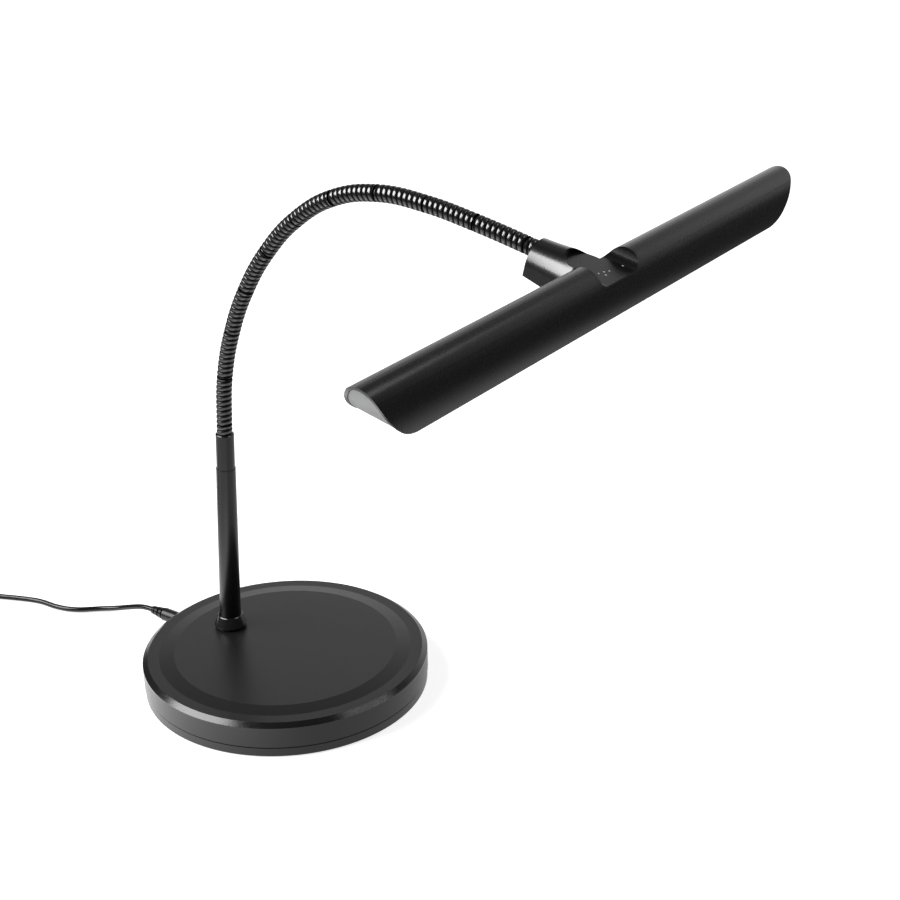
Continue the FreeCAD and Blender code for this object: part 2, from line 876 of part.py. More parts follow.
# the shell: a thin arch, open below and at both ends
shell = arch(0).cut(arch(s.bar_wall)).common(side_outline(0)).cut(notch(s.panel_thickness + s.panel_gap))
tongue_slot = block(
    Vector(-s.tongue_half_width - s.panel_gap, 0, tongue_underside - s.panel_gap),
    Vector(s.tongue_half_width + s.panel_gap, s.bar_half_width, s.notch_floor),
)
head_feature("bar_shell", shell.cut(tongue_slot))

# the diffuser: an opal strip along the underside that turns up into both ends
diffuser = side_outline(s.diffuser_inset).cut(side_outline(s.diffuser_inset + s.diffuser_wall))
head_feature("diffuser", arch(s.bar_wall + s.diffuser_gap).common(diffuser))

# the touch panel: a band across the notch and a stem over the connector
panel = notch(s.panel_thickness).cut(notch(0)).common(arch(0))
panel_stem = stem_footprint(0, panel_underside, s.notch_floor).common(stub_envelope())
head_feature("touch_panel", panel.fuse(panel_stem).removeSplitter())

# the connector: neck socket, flare and the tongue that reaches into the bar
tongue = block(
    Vector(-s.tongue_half_width, s.tongue_front, tongue_underside),
    Vector(s.tongue_half_width, s.bar_half_width, panel_underside),
)
neck_socket = Part.makeCylinder(
    neck_socket_radius,
    s.neck_socket_depth + s.way_gap,
    Vector(0, s.stub_back - s.neck_socket_depth, s.neck_axis_height),
    Y,
)
touch_board_underside = panel_underside - s.touch_board_thickness
board_low = Vector(-s.touch_board_half_length, -s.touch_board_half_width, touch_board_underside)
board_high = Vector(s.touch_board_half_length, s.touch_board_half_width, panel_underside)
around = Vector(s.fit_gap, s.fit_gap, 0)
set_screw_y = s.stub_back - s.neck_socket_depth / 2
set_screw_low = Vector(0, set_screw_y, s.stub_underside + s.fit_gap)
set_screw_length = s.neck_axis_height - s.neck_radius - set_screw_low.z
connector = stub_envelope().cut(arch(0)).fuse(tongue)
connector = connector.cut(
    [
        stem_footprint(s.panel_gap, panel_underside, LONG),
        neck_socket,
        block(board_low - around, board_high + around + Z),
        Part.makeCylinder(s.set_screw_radius + s.neck_fit, s.neck_axis_height, Vector(0, set_screw_y, 0)),
    ]
)
screw_top = touch_board_underside - s.fit_gap
screw_low = board_underside - s.head_screw_head


def head_screw_cylinders(radius, height):
    return [
        Part.makeCylinder(radius, height, Vector(s.head_screw_x * side, 0, screw_low)) for side in (-1, 1)
    ]


screw_holes = head_screw_cylinders(s.head_screw_radius + s.neck_fit, screw_top - screw_low)
shanks = head_screw_cylinders(s.head_screw_radius, screw_top - screw_low)
heads = head_screw_cylinders(s.head_screw_head_radius, s.head_screw_head)
head_feature("connector", connector.cut(screw_holes).removeSplitter())
head_feature("neck_set_screw", Part.makeCylinder(s.set_screw_radius, set_screw_length, set_screw_low))
head_feature("touch_board", block(board_low, board_high))
head_feature("head_screws", Part.makeCompound([head.fuse(shank) for head, shank in zip(heads, shanks)]))

# the lamp's light source: a plate across the shell, a board under it and a row of diodes
plate = arch(s.bar_wall).common(
    block(
        Vector(-s.plate_half_length, -s.bar_half_width, plate_underside),
        Vector(s.plate_half_length, s.bar_half_width, tongue_underside),
    )
)
head_feature("led_plate", plate.cut(screw_holes))
board_half_length = s.led_pitch * s.led_count / 2
board = block(
    Vector(-board_half_length, -s.board_half_width, board_underside),
    Vector(board_half_length, s.board_half_width, plate_underside),
)
head_feature("led_board", board.cut(screw_holes))
led_half = Vector(s.led_width / 2, s.led_length / 2, 0)
leds = []
for index in range(int(s.led_count)):
    centre = Vector((index - (s.led_count - 1) / 2) * s.led_pitch, 0, board_underside)
    leds.append(block(centre - led_half - Z * s.led_height, centre + led_half))
head_feature("leds", Part.makeCompound(leds))

# the neck's last piece sits in the connector and turns with the head
tail_outside = wound_outline(s.joint_cup_reach, s.tail_length - s.groove_width)
tail_outside += [
    ring_point(s.groove_radius, s.tail_length - s.groove_width),
    ring_point(s.groove_radius, s.tail_length),
    ring_point(s.neck_radius, s.tail_length),
    ring_point(s.neck_radius, s.tail_length + s.neck_socket_depth),
]
feature("neck_tail", neck_piece(tail_outside, cup=True), neck_place(hinges[-1], head_turn.multVec(-Y)))

# ---------------------------------------------------------------- supply lead
pin_end = socket_mouth - s.plug_pin_length
plug_end = socket_mouth + s.plug_length
relief_end = plug_end + s.relief_length
plug = along_y(s.plug_radius, socket_mouth, plug_end).fuse(along_y(s.plug_pin_radius, pin_end, socket_mouth))
feature("dc_plug", plug)


def relief_outline():
    """The strain relief's rings, each behind its groove, on a taper towards the cord."""
    pitch = s.relief_length / s.relief_rings
    taper = (s.relief_end_radius - s.relief_radius) / s.relief_length
    points = [Vector(0, 0, 0), Vector(s.relief_core_radius, 0, 0)]
    for ring in range(int(s.relief_rings)):
        start = pitch * ring + s.relief_groove
        end = pitch * (ring + 1)
        points.append(Vector(s.relief_core_radius, start, 0))
        points.append(Vector(s.relief_radius + taper * start, start, 0))
        points.append(Vector(s.relief_radius + taper * end, end, 0))
        points.append(Vector(s.relief_core_radius, end, 0))
    return points + [Vector(0, s.relief_length, 0), Vector(0, 0, 0)]


relief = Part.Face(Part.makePolygon(relief_outline())).revolve(Vector(), Y, 360)
feature("strain_relief", relief, Placement(Vector(0, plug_end, s.socket_axis_height), Rotation()))

floor_height = s.cord_radius
relief_exit = Vector(0, relief_end, s.socket_axis_height)
ROUTE = [
    relief_exit,
    relief_exit + Vector(0, 7.0, 0),
    relief_exit + Vector(0, 19.0, -4.1),
    relief_exit + Vector(-0.6, 30.6, -8.3),
    Vector(-5.0, relief_end + 40.9, floor_height),
    Vector(-14.6, relief_end + 51.9, floor_height),
    Vector(-18.4, relief_end + 65.0, floor_height),
    Vector(-18.2, relief_end + 78.5, floor_height),
    Vector(-23.5, relief_end + 93.5, floor_height),
    Vector(-31.0, relief_end + 110.5, floor_height),
]
coil_centre = Vector(s.coil_x, relief_end + s.coil_back, 0)
coil_half_width = s.coil_pitch * (s.coil_tracks - 1) / 2 + s.cord_radius
coil_height = s.coil_pitch * (s.coil_layers - 1) + s.cord_radius * 2
outer_turn_radius = s.coil_mean_radius + coil_half_width - s.cord_radius


def tangent_point(point, centre, radius):
    """Where a line from the point grazes the circle, on the side that carries on into the turns."""
    away = Vector(point.x - centre.x, point.y - centre.y, 0)
    swing = math.degrees(math.acos(radius / away.Length))
    away.normalize()
    reach = Rotation(Z, swing).multVec(away) * radius
    return Vector(centre.x + reach.x, centre.y + reach.y, point.z)


ROUTE.append(tangent_point(ROUTE[-1], coil_centre, outer_turn_radius))


def rounded_path(points):
    """Straight runs joined by tangent arcs."""
    edges = []
    radii = []
    start = points[0]
    for before, corner, after in zip(points, points[1:], points[2:]):
        back = before - corner
        ahead = after - corner
        turn = math.pi - back.getAngle(ahead)
        trim = 0.45 * min(back.Length, ahead.Length)
        back.normalize()
        ahead.normalize()
        radius = trim / math.tan(turn / 2)
        middle_way = back + ahead
        middle_way.normalize()
        middle = corner + middle_way * (radius / math.cos(turn / 2) - radius)
        edges += [Part.LineSegment(start, corner + back * trim).toShape()]
        edges += [Part.Arc(corner + back * trim, middle, corner + ahead * trim).toShape()]
        start = corner + ahead * trim
        radii.append(round(radius, 1))
    edges.append(Part.LineSegment(start, points[-1]).toShape())
    print("bend radii of the lead, mm:", radii)
    return Part.Wire(edges)


path = rounded_path(ROUTE)
first_run = ROUTE[1] - ROUTE[0]
section = Part.Wire(Part.Circle(ROUTE[0], first_run, s.cord_radius).toShape())
cord = path.makePipeShell([section], True, False)
coil = Part.makeCylinder(s.coil_mean_radius + coil_half_width, coil_height, coil_centre)
coil = coil.cut(Part.makeCylinder(s.coil_mean_radius - coil_half_width, coil_height, coil_centre))
print("lead volume over section x length:", cord.Volume / (math.pi * s.cord_radius ** 2 * path.Length))
feature("dc_cord", cord.cut(coil))
feature("cord_coil", coil)

# the lead's other end: out of the top turn into the mains adapter, which lies beside the coil
adapter_back = s.coil_x - s.coil_mean_radius - coil_half_width - s.adapter_gap
tail_height = coil_height - s.cord_radius
tail_y = coil_centre.y + outer_turn_radius


def along_x(radius, start, end, y=tail_y, z=tail_height):
    return Part.makeCylinder(radius, abs(end - start), Vector(min(start, end), y, z), X)


relief_start = adapter_back + s.adapter_relief
feature("cord_tail", along_x(s.cord_radius, relief_start, s.coil_x).cut(coil))
feature("adapter_relief", along_x(s.adapter_relief_radius, adapter_back, relief_start))


def adapter_slice(start, end):
    slice_low = Vector(end, tail_y - s.adapter_width / 2, 0)
    slice_high = Vector(start, tail_y + s.adapter_width / 2, s.adapter_height)
    return block(slice_low, slice_high)


adapter_end = adapter_back - s.adapter_length
lid_start = adapter_end + s.adapter_lid
adapter = adapter_slice(adapter_back, adapter_end)
long_edges = [edge for edge in adapter.Edges if abs(edge.tangentAt(edge.FirstParameter).x) > 0.9]
adapter = adapter.makeFillet(s.adapter_corner, long_edges)
pin_end_x = adapter_end - s.pin_length
pins = [
    along_x(s.pin_radius, pin_end_x, lid_start, tail_y + s.pin_spacing / 2 * side, s.adapter_height / 2)
    for side in (-1, 1)
]
feature("adapter_body", adapter.common(adapter_slice(adapter_back, lid_start)))
feature("adapter_lid", adapter.common(adapter_slice(lid_start, adapter_end)).cut(pins))
feature("adapter_pins", Part.makeCompound(pins))

# ---------------------------------------------------------------- checks and files
doc.recompute()
pieces = [made for made in doc.Objects if made.TypeId in ("PartDesign::Body", "Part::Feature")]
for made in doc.Objects:
    if {"Invalid", "Error"} & set(made.State):
        raise ValueError(f"{made.Name}: {made.State}")
for piece in pieces:
    if piece.Shape.isNull() or not piece.Shape.isValid() or not piece.Shape.Solids:
        raise ValueError(f"{piece.Label}: no sound shape")
os.makedirs("parts", exist_ok=True)
for piece in pieces:
    piece.Shape.exportStep(f"parts/{piece.Label}.step")
for index, hinge in enumerate(hinges):
    print(f"hinge {index}: {hinge.x:.4f} {hinge.y:.4f} {hinge.z:.4f}")
print("head origin:", head_frame.Base)
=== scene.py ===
"""Looks of the piano lamp: its finishes, the wound neck, the supply cord, the light and the camera. Metres, +Z up."""
import json
import math

import bmesh
import bpy
from mathutils import Matrix, Vector

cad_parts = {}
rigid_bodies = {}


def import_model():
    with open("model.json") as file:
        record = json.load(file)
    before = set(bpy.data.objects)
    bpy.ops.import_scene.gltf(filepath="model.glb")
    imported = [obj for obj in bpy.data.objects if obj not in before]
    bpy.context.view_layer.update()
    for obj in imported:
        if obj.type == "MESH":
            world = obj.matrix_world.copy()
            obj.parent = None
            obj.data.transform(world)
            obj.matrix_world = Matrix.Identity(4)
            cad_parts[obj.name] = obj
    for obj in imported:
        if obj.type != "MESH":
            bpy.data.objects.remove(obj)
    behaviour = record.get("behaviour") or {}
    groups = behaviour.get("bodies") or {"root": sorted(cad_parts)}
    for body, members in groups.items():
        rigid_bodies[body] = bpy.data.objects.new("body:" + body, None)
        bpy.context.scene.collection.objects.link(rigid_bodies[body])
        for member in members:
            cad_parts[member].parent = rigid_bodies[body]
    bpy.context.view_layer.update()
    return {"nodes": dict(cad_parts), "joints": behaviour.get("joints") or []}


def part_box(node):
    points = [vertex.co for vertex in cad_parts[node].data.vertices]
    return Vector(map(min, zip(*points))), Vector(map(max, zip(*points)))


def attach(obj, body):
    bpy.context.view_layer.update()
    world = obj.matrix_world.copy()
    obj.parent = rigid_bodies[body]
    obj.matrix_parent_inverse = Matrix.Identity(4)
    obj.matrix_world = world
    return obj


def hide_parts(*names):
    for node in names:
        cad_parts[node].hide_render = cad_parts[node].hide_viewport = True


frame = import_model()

MM = 0.001
WHITE = (1, 1, 1, 1)


def link_object(made):
    bpy.context.scene.collection.objects.link(made)
    return made


def centreline_length(curve):
    return curve.data.splines[0].calc_length()


# ---------------------------------------------------------------- camera
PICTURE_SIDE = 900.0  # pixels
FOCAL_LENGTH = 1712.244  # in those pixels
SENSOR = 36.0
NEAREST, FARTHEST = 0.05, 20.0  # what the camera still sees
CAMERA_PLACE = Vector((-0.626985, -0.559716, 0.517685))
CAMERA_RIGHT = Vector((0.571281, -0.820582, -0.016822))
CAMERA_UP = Vector((0.347364, 0.223160, 0.910790))


def make_camera():
    lens = bpy.data.cameras.new("camera")
    lens.sensor_width = SENSOR
    lens.lens = SENSOR * FOCAL_LENGTH / PICTURE_SIDE
    lens.clip_start = NEAREST
    lens.clip_end = FARTHEST
    camera = link_object(bpy.data.objects.new("camera", lens))
    turn = Matrix((CAMERA_RIGHT, CAMERA_UP, CAMERA_RIGHT.cross(CAMERA_UP))).transposed()
    camera.matrix_world = Matrix.Translation(CAMERA_PLACE) @ turn.to_4x4()
    bpy.context.scene.camera = camera


make_camera()

# ---------------------------------------------------------------- supply cord
CORD_RADIUS = 1.6 * MM
CORD_ROUTE = [  # the route of the part's source, in millimetres, from the strain relief to the coil
    (0, 110.55, 11.3),
    (0, 122.55, 7.2),
    (-0.6, 134.15, 3.0),
    (-5.0, 144.45, 1.6),
    (-14.6, 155.45, 1.6),
    (-18.4, 168.55, 1.6),
    (-18.2, 182.05, 1.6),
    (-23.5, 197.05, 1.6),
    (-31.0, 214.05, 1.6),
]
CORD_FINENESS = 6  # of its round section and along its line
COIL_CENTRE = Vector((-64, 236.05, 0)) * MM
COIL_RADIUS = 18 * MM  # of the middle of its turns
COIL_PITCH = 3.3 * MM
COIL_TRACKS = 4  # turns side by side
COIL_LAYERS = 4
COIL_STEPS = 16  # points in one turn
COIL_SPREAD = COIL_PITCH * (COIL_TRACKS - 1)  # from the innermost turn to the outermost
LIFT_SHARE = 0.5  # of a turn, spent climbing to the next layer
RUN_OUT_SHARES = (0.35, 0.7)  # where the points lie between the coil and the adapter


def coil_points(start_angle, end_angle):
    """Spirals in and out, one layer above the other, and ends on the outermost turn at end_angle."""
    outer, inner = COIL_RADIUS + COIL_SPREAD / 2, COIL_RADIUS - COIL_SPREAD / 2
    legs = []
    for layer in range(COIL_LAYERS):
        ends = (outer, inner) if layer % 2 == 0 else (inner, outer)
        legs.append((COIL_TRACKS - 1, *ends, layer, layer))
        if layer < COIL_LAYERS - 1:
            legs.append((LIFT_SHARE, ends[1], ends[1], layer, layer + 1))
    turns = sum(leg[0] for leg in legs)
    wanted = (end_angle - start_angle) / (2 * math.pi) % 1
    stretch = (math.floor(turns) + wanted) / turns
    points = []
    angle = start_angle
    for share, start_radius, end_radius, low, high in legs:
        count = round(share * stretch * COIL_STEPS)
        for step in range(count):
            part = step / count
            radius = start_radius + (end_radius - start_radius) * part
            height = CORD_RADIUS + COIL_PITCH * (low + (high - low) * part)
            at = angle + 2 * math.pi * share * stretch * part
            points.append(COIL_CENTRE + Vector((radius * math.cos(at), radius * math.sin(at), height)))
        angle += 2 * math.pi * share * stretch
    top = CORD_RADIUS + COIL_PITCH * (COIL_LAYERS - 1)
    points.append(COIL_CENTRE + Vector((outer * math.cos(angle), outer * math.sin(angle), top)))
    return points


def open_curve(name, points, radius):
    data = bpy.data.curves.new(name, "CURVE")
    data.dimensions = "3D"
    data.bevel_depth = 1.0  # times each point's radius
    data.bevel_resolution = CORD_FINENESS
    data.resolution_u = CORD_FINENESS
    data.use_fill_caps = True
    spline = data.splines.new("NURBS")
    spline.points.add(len(points) - 1)
    for place, point in zip(spline.points, points):
        place.co = (*point, 1.0)
        place.radius = radius
    spline.order_u = 3
    spline.use_endpoint_u = True
    return link_object(bpy.data.objects.new(name, data))


def make_cord():
    """The lead from the strain relief over the table into its coil, and on to the adapter."""
    relief_low, relief_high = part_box("strain_relief")
    leaves = Vector(((relief_low.x + relief_high.x) / 2, relief_high.y, (relief_low.z + relief_high.z) / 2))
    entry_low, entry_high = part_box("adapter_relief")
    enters = Vector((entry_high.x, (entry_low.y + entry_high.y) / 2, (entry_low.z + entry_high.z) / 2))
    route = [Vector(point) * MM for point in CORD_ROUTE]
    away = route[-1] - COIL_CENTRE
    outer = COIL_RADIUS + COIL_SPREAD / 2
    graze = math.atan2(away.y, away.x) + math.acos(outer / math.hypot(away.x, away.y))
    turns = coil_points(graze, math.pi / 2)
    run_out = [turns[-1] + (enters - turns[-1]) * share for share in RUN_OUT_SHARES]
    cord = open_curve("supply_cord", [leaves] + route + turns + run_out + [enters], CORD_RADIUS)
    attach(cord, "base")
    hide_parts("dc_cord", "cord_coil", "cord_tail")
    return cord


cord = make_cord()


# ---------------------------------------------------------------- node trees
class Nodes:
    """A shader's node tree."""

    def __init__(self, tree):
        self.tree = tree

    def fill(self, socket, value):
        if isinstance(value, bpy.types.NodeSocket):
            self.tree.links.new(value, socket)
        else:
            socket.default_value = value

    def add(self, kind, settings=(), **inputs):
        node = self.tree.nodes.new(kind)
        for name, value in dict(settings).items():
            setattr(node, name, value)
        for name, value in inputs.items():
            self.fill(node.inputs[name.replace("_", " ")], value)
        return node

    def maths(self, operation, first, second=0.0):
        node = self.add("ShaderNodeMath", {"operation": operation})
        for socket, value in zip(node.inputs, (first, second)):
            self.fill(socket, value)
        return node.outputs[0]

    def vectors(self, operation, *places):
        node = self.add("ShaderNodeVectorMath", {"operation": operation})
        for socket, place in zip(node.inputs, places):
            self.fill(socket, place)
        return node.outputs["Value"]

    def spread(self, value, low, high):
        """Maps 0 to 1 onto low to high."""
        node = self.add("ShaderNodeMapRange", Value=value, To_Min=low, To_Max=high)
        return node.outputs["Result"]

    def graded(self, value, start, end, low, high):
        """Takes a value from start to end smoothly onto low to high."""
        node = self.add(
            "ShaderNodeMapRange", {"interpolation_type": "SMOOTHSTEP"},
            Value=value, From_Min=start, From_Max=end, To_Min=low, To_Max=high,
        )
        return node.outputs["Result"]

    def noise(self, where, size, detail=2.0, roughness=0.5):
        """Noise whose lumps are about size across."""
        node = self.add("ShaderNodeTexNoise", Vector=where, Scale=1 / size, Detail=detail, Roughness=roughness)
        return node.outputs[0]

    def where(self):
        return self.add("ShaderNodeTexCoord").outputs["Object"]


def new_material(name):
    material = bpy.data.materials.new(name)
    material.use_nodes = True
    material.node_tree.nodes.clear()
    return material, Nodes(material.node_tree)


def shader_of(material):
    return next(node for node in material.node_tree.nodes if node.type == "BSDF_PRINCIPLED")


# ---------------------------------------------------------------- finishes
RIM_STARTS = (76.4 * MM, 77.4 * MM)  # out from the base's axis, where the rounded rim begins
RIM_LEVELS = (16.6 * MM, 17.6 * MM)
CLOUD_SIZE = 22 * MM  # of the slow changes of tone
SMEAR_SIZE = 5 * MM  # of the changes of gloss
SMEAR_SHARE = 0.14  # of the roughness, up and down
GRAIN_GLOSS = 0.03  # what the grain adds to the roughness, up and down
FROST_GRAIN = 0.25 * MM
FROST_DEPTH = 0.02 * MM
FROST_CLOUD = 12 * MM
OPAL_TONES = (0.15, 0.19)
OPAL_ROUGHNESS = (0.38, 0.52)
OPAL_SCATTER = 0.25  # the share of the light that goes in and comes out again
OPAL_SCATTER_SCALE = 2 * MM
GAP = "gap"  # the attribute that is 1 at the bottom of the neck's groove
GAP_RANGE = (0.05, 0.3)  # of that attribute, from the turn's enamel to the dull gap with its painted shade
GAP_ROUGHNESS = 0.6
# the reflection's tint left at the bottom of the gap: painted shade
PAINTED_GAP_SHINE = 0.03
HEAD_TILT = math.radians(13.5)
HEAD_ORIGIN = Vector((0, -197.7906, 261.6011)) * MM
TOUCH_MARKS = [(-4.3, 0.7), (-0.9, 0.1), (-2.8, -2.0), (2.2, -0.9), (12.1, -2.1)]  # across and along the panel, mm
TOUCH_LEVEL = 16.0
TOUCH_RADIUS = 0.55 * MM
TOUCH_EDGE = (0.6, 1.1)  # times the radius, from full to none
TOUCH_TONE = 0.5


def rim_mask(nodes, where):
    """1 on the base's rounded rim, where the coating has flowed smooth, and 0 elsewhere."""
    split = nodes.add("ShaderNodeSeparateXYZ", Vector=where).outputs
    squares = [nodes.maths("MULTIPLY", split[axis], split[axis]) for axis in "XY"]
    from_axis = nodes.maths("SQRT", nodes.maths("ADD", *squares))
    outside = nodes.graded(from_axis, *RIM_STARTS, 0.0, 1.0)
    above = nodes.graded(split["Z"], *RIM_LEVELS, 0.0, 1.0)
    return nodes.maths("MULTIPLY", outside, above)


def coating(
    name, grey, roughness, grain, depth, mottle=0.08, tint=(1.0, 1.0, 1.0), mask=None, masked=0.0, **shader_values
):
    """A coated or moulded surface: fine grain as bump, and slow changes of gloss and tone over it.

    Where the mask is 1 the roughness is lower by the share masked.
    """
    material, nodes = new_material(name)
    where = nodes.where()
    fine = nodes.noise(where, grain, 3.0, 0.6)
    broad = nodes.noise(where, CLOUD_SIZE, 3.0, 0.55)
    smears = nodes.noise(where, SMEAR_SIZE, 4.0, 0.65)
    tone = nodes.spread(broad, grey * (1 - mottle), grey * (1 + mottle))
    colour = nodes.add("ShaderNodeCombineColor")
    for socket, share in zip(colour.inputs, tint):
        nodes.fill(socket, nodes.maths("MULTIPLY", tone, share))
    gloss = nodes.maths(
        "ADD",
        nodes.spread(smears, roughness * (1 - SMEAR_SHARE), roughness * (1 + SMEAR_SHARE)),
        nodes.spread(fine, -GRAIN_GLOSS, GRAIN_GLOSS),
    )
    if mask:
        gloss = nodes.maths("MULTIPLY", gloss, nodes.spread(mask(nodes, where), 1.0, 1.0 - masked))
    bump = nodes.add("ShaderNodeBump", Height=fine, Distance=depth, Strength=1.0)
    shader = nodes.add(
        "ShaderNodeBsdfPrincipled",
        Base_Color=colour.outputs[0], Roughness=gloss, Normal=bump.outputs[0], **shader_values,
    )
    nodes.add("ShaderNodeOutputMaterial", Surface=shader.outputs[0])
    return material


def opal_material():
    """Frosted plastic that lets some light through."""
    material, nodes = new_material("opal_diffuser")
    where = nodes.where()
    frost = nodes.noise(where, FROST_GRAIN, 2.0, 0.6)
    cloud = nodes.noise(where, FROST_CLOUD, 2.0, 0.5)
    tone = nodes.spread(cloud, *OPAL_TONES)
    colour = nodes.add("ShaderNodeCombineColor", Red=tone, Green=tone, Blue=tone)
    bump = nodes.add("ShaderNodeBump", Height=frost, Distance=FROST_DEPTH, Strength=1.0)
    shader = nodes.add(
        "ShaderNodeBsdfPrincipled",
        Base_Color=colour.outputs[0],
        Roughness=nodes.spread(frost, *OPAL_ROUGHNESS),
        Normal=bump.outputs[0],
        Subsurface_Weight=OPAL_SCATTER,
        Subsurface_Scale=OPAL_SCATTER_SCALE,
    )
    nodes.add("ShaderNodeOutputMaterial", Surface=shader.outputs[0])
    return material


def add_dots(material, places, radius, tone):
    """Small light touch marks on a coated surface."""
    nodes = Nodes(material.node_tree)
    colour = shader_of(material).inputs["Base Color"]
    plain = colour.links[0].from_socket
    where = nodes.where()
    full, none = (radius * share for share in TOUCH_EDGE)
    marked = 0.0
    for place in places:
        inside = nodes.graded(nodes.vectors("DISTANCE", where, place), full, none, 1.0, 0.0)
        marked = nodes.maths("MAXIMUM", inside, marked)
    blend = nodes.add("ShaderNodeMix", {"data_type": "RGBA"})
    factor, base, mark = blend.inputs[0], blend.inputs[6], blend.inputs[7]
    for socket, value in ((factor, marked), (base, plain), (mark, (tone, tone, tone, 1.0))):
        nodes.fill(socket, value)
    nodes.fill(colour, blend.outputs[2])


def paint_gap_shade(material):
    """Dulls the gaps between the neck's turns and paints shade into them: their reflection is tinted down to near
    black.
    """
    nodes = Nodes(material.node_tree)
    shader = shader_of(material)
    plain = shader.inputs["Roughness"].links[0].from_socket
    depth = nodes.add("ShaderNodeAttribute", {"attribute_name": GAP, "attribute_type": "GEOMETRY"}).outputs["Fac"]
    dull = nodes.graded(depth, *GAP_RANGE, 0.0, GAP_ROUGHNESS)
    nodes.fill(shader.inputs["Roughness"], nodes.maths("MAXIMUM", plain, dull))
    # painted shade: the reflection is tinted down towards near black in the gap
    nodes.fill(shader.inputs["Specular Tint"], nodes.graded(depth, *GAP_RANGE, 1.0, PAINTED_GAP_SHINE))


def head_axis(which):
    """The head's own Y or Z direction, in the row frame."""
    across, up = math.cos(HEAD_TILT), math.sin(HEAD_TILT)
    return Vector((0, across, up)) if which == 1 else Vector((0, -up, across))


def on_head(x, y, z):
    """A point given in the head's own millimetres."""
    return HEAD_ORIGIN + (Vector((x, 0, 0)) + head_axis(1) * y + head_axis(2) * z) * MM


SHELL = coating("shell_coating", 0.005, 0.27, 0.5 * MM, 0.03 * MM, Specular_IOR_Level=0.32)
POST = coating("post_coating", 0.004, 0.22, 0.5 * MM, 0.012 * MM, Specular_IOR_Level=0.42)
BASE = coating("base_coating", 0.006, 0.34, 0.45 * MM, 0.02 * MM, mottle=0.12, mask=rim_mask, masked=0.45)
MOULDED = coating("moulded_plastic", 0.006, 0.32, 0.6 * MM, 0.02 * MM, Specular_IOR_Level=0.35)
CONNECTOR = coating("connector_gloss", 0.004, 0.25, 0.9 * MM, 0.02 * MM, Specular_IOR_Level=0.9)
COLLAR = coating("collar_gloss", 0.006, 0.20, 0.9 * MM, 0.01 * MM, Specular_IOR_Level=0.7)
PANEL = coating("panel_satin", 0.005, 0.26, 0.35 * MM, 0.006 * MM, Specular_IOR_Level=0.32)
NECK = coating("neck_enamel", 0.006, 0.18, 0.8 * MM, 0.008 * MM, Specular_IOR_Level=1.0)
STEEL = coating("bright_steel", 0.55, 0.30, 0.4 * MM, 0.01 * MM, Metallic=1.0)
IRON = coating("cast_iron", 0.08, 0.75, 1.2 * MM, 0.15 * MM)
RUBBER = coating("pad_rubber", 0.02, 0.80, 0.6 * MM, 0.06 * MM)
BOARD = coating("board_white", 0.75, 0.45, 0.5 * MM, 0.01 * MM, tint=(1.0, 0.99, 0.95))
DIODE = coating("diode_yellow", 0.7, 0.35, 0.3 * MM, 0.01 * MM, tint=(1.0, 0.85, 0.35))
CORD = coating("cord_sheath", 0.004, 0.20, 0.7 * MM, 0.006 * MM, Specular_IOR_Level=0.35)
OPAL = opal_material()
paint_gap_shade(NECK)
add_dots(PANEL, [on_head(x, y, TOUCH_LEVEL) for x, y in TOUCH_MARKS], TOUCH_RADIUS, TOUCH_TONE)

FINISHES = {
    BASE: ["base_cover", "base_tray"],
    POST: ["post", "post_sleeve"],
    COLLAR: ["post_collar"],
    MOULDED: ["dc_socket", "dc_plug", "strain_relief", "adapter_relief", "adapter_body", "adapter_lid"],
    CONNECTOR: ["connector"],
    PANEL: ["touch_panel"],
    SHELL: ["bar_shell"],
    OPAL: ["diffuser"],
    NECK: ["neck_root", "neck_tail"],
    STEEL: [
        "tray_screws", "dc_socket_nut", "post_washer", "post_nut", "neck_set_screw", "led_plate", "head_screws",
        "adapter_pins",
    ],
    IRON: ["base_weight"],
    RUBBER: ["foot_pad"],
    BOARD: ["led_board", "touch_board"],
    DIODE: ["leds"],
}

for finish, node_names in FINISHES.items():
    for node_name in node_names:
        for slot in frame["nodes"][node_name].material_slots:
            slot.link = "OBJECT"
            slot.material = finish
cord.data.materials.append(CORD)

# ---------------------------------------------------------------- wound neck
NECK_RADIUS = 4.35 * MM
NECK_PITCH = 2.95 * MM
GROOVE_DEPTH = 0.9 * MM
GROOVE_SHARPNESS = 4.0  # the higher, the narrower the groove between two turns
RINGS_PER_TURN = 12
SIDES = 30
ROOT_LENGTH = 6 * MM  # of the neck before its first hinge
TAIL_LENGTH = 6 * MM  # and after its last
TUCK = 3 * MM  # how far the neck runs on inside the sleeve and the connector
BALL_RADIUS = 3.4 * MM  # just under the bottom of the groove
BALL_SIDES, BALL_RINGS = 32, 16
PLAY = 0.02 * MM  # what two stretches still keep between them at a hinge's limit
LINE_FINENESS = 32
FOOT_BAND = 1.2 * MM  # above the sleeve's lowest corner, within which its lower end lies


def neck_line(points):
    """One smooth curve through the neck's hinges."""
    data = bpy.data.curves.new("neck_line", "CURVE")
    data.dimensions = "3D"
    data.resolution_u = LINE_FINENESS
    spline = data.splines.new("BEZIER")
    spline.bezier_points.add(len(points) - 1)
    for place, point in zip(spline.bezier_points, points):
        place.co = point
        place.handle_left_type = place.handle_right_type = "AUTO"
    return link_object(bpy.data.objects.new("neck_line", data))


